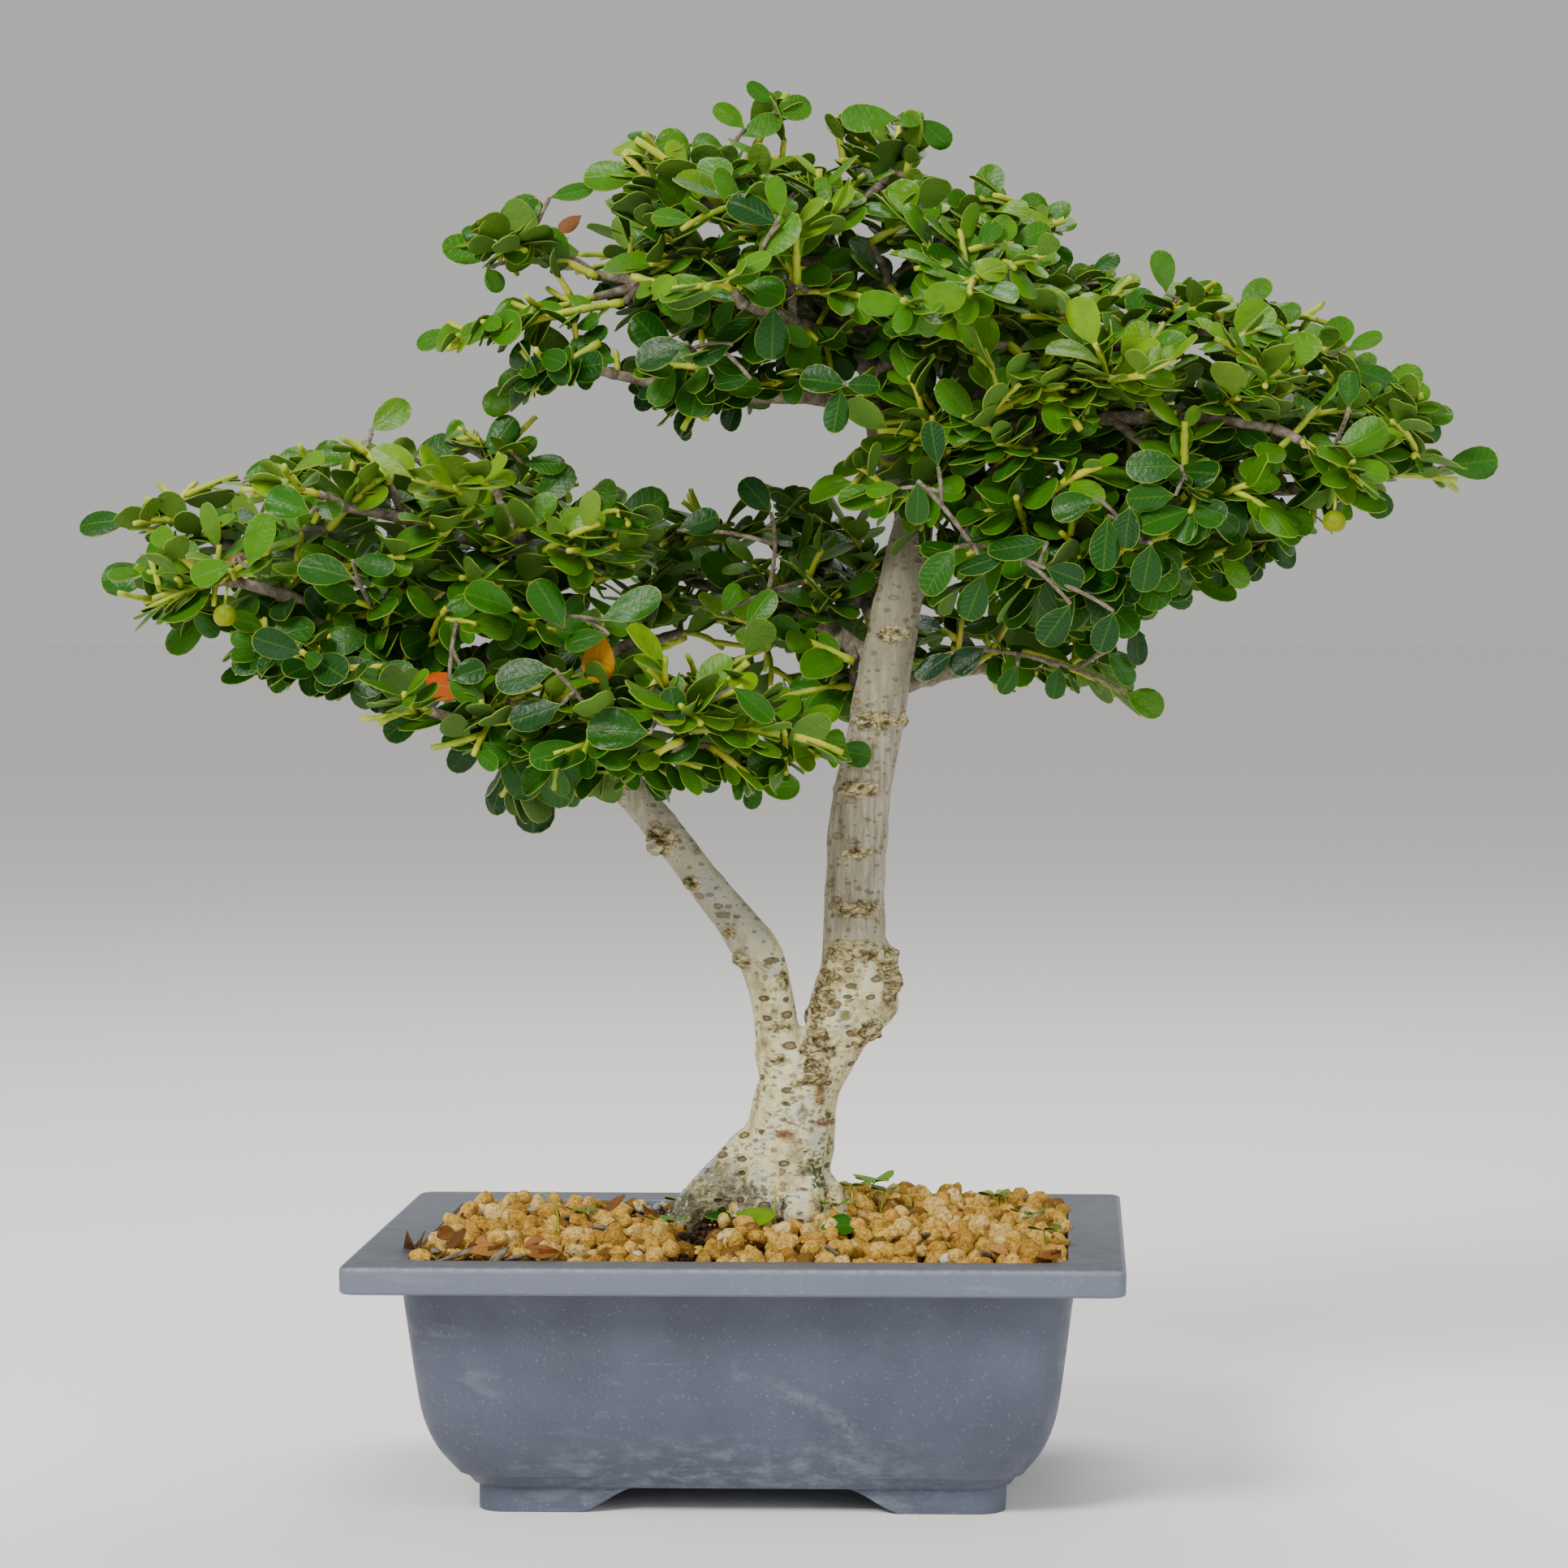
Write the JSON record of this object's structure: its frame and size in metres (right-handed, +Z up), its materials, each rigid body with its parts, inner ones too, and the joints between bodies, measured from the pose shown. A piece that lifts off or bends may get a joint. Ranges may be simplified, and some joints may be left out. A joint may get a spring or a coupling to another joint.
{
  "type": "wall cotoneaster bonsai",
  "caption": "Small-leaved forked tree trained as a bonsai, with five layered leaf pads, standing in granular soil in a rectangular footed plastic pot.",
  "frame": {"origin": "under the middle of the whole tree's outline, on the plane that the pot's four feet stand on", "axes": "+Z up the tree, -Y towards the front of the tree, +X to the right seen from the front"},
  "size_m": [0.4511, 0.2241, 0.456],
  "materials": {
    "pot_plastic": "satin blue-grey moulded plastic with faint scuffs",
    "soil_granules": "dry porous ochre clay granules",
    "humus": "dark crumbly humus",
    "bark": "pale silvery grey bark with brown lenticels",
    "leaf": "leathery semi-gloss green leaf",
    "green_twig": "young yellow-green bark",
    "berry": "smooth satin unripe fruit skin",
    "pebble": "pale dry pebble",
    "moss": "matt moss and lichen"
  },
  "bodies": {
    "root": {"pot": "pot_plastic", "soil": "soil_granules", "wood": "bark", "left_spray_1": "leaf", "left_spray_2": "leaf", "left_spray_3": "leaf", "left_spray_4": "leaf", "left_spray_5": "leaf", "left_spray_6": "leaf", "left_spray_7": "leaf", "left_spray_8": "leaf", "left_spray_9": "leaf", "left_spray_10": "leaf", "left_spray_11": "leaf", "left_spray_12": "leaf", "low_spray_1": "leaf", "low_spray_2": "leaf", "low_spray_3": "leaf", "low_spray_4": "leaf", "low_spray_5": "leaf", "low_spray_6": "leaf", "low_spray_7": "leaf", "rear_spray_1": "leaf", "rear_spray_2": "leaf", "rear_spray_3": "leaf", "rear_spray_4": "leaf", "rear_spray_5": "leaf", "rear_spray_6": "leaf", "rear_spray_7": "leaf", "rear_spray_8": "leaf", "right_spray_1": "leaf", "right_spray_2": "leaf", "right_spray_3": "leaf", "right_spray_4": "leaf", "right_spray_5": "leaf", "right_spray_6": "leaf", "right_spray_7": "leaf", "right_spray_8": "leaf", "right_spray_9": "leaf", "right_spray_10": "leaf", "right_spray_11": "leaf", "right_spray_12": "leaf", "right_spray_13": "leaf", "right_spray_14": "leaf", "top_spray_1": "leaf", "top_spray_2": "leaf", "top_spray_3": "leaf", "top_spray_4": "leaf", "top_spray_5": "leaf", "top_spray_6": "leaf", "top_spray_7": "leaf", "top_spray_8": "leaf", "top_spray_9": "leaf", "top_spray_10": "leaf", "top_spray_11": "leaf", "top_spray_12": "leaf", "top_spray_13": "leaf", "top_spray_14": "leaf", "top_spray_15": "leaf"}
  },
  "joints": []
}
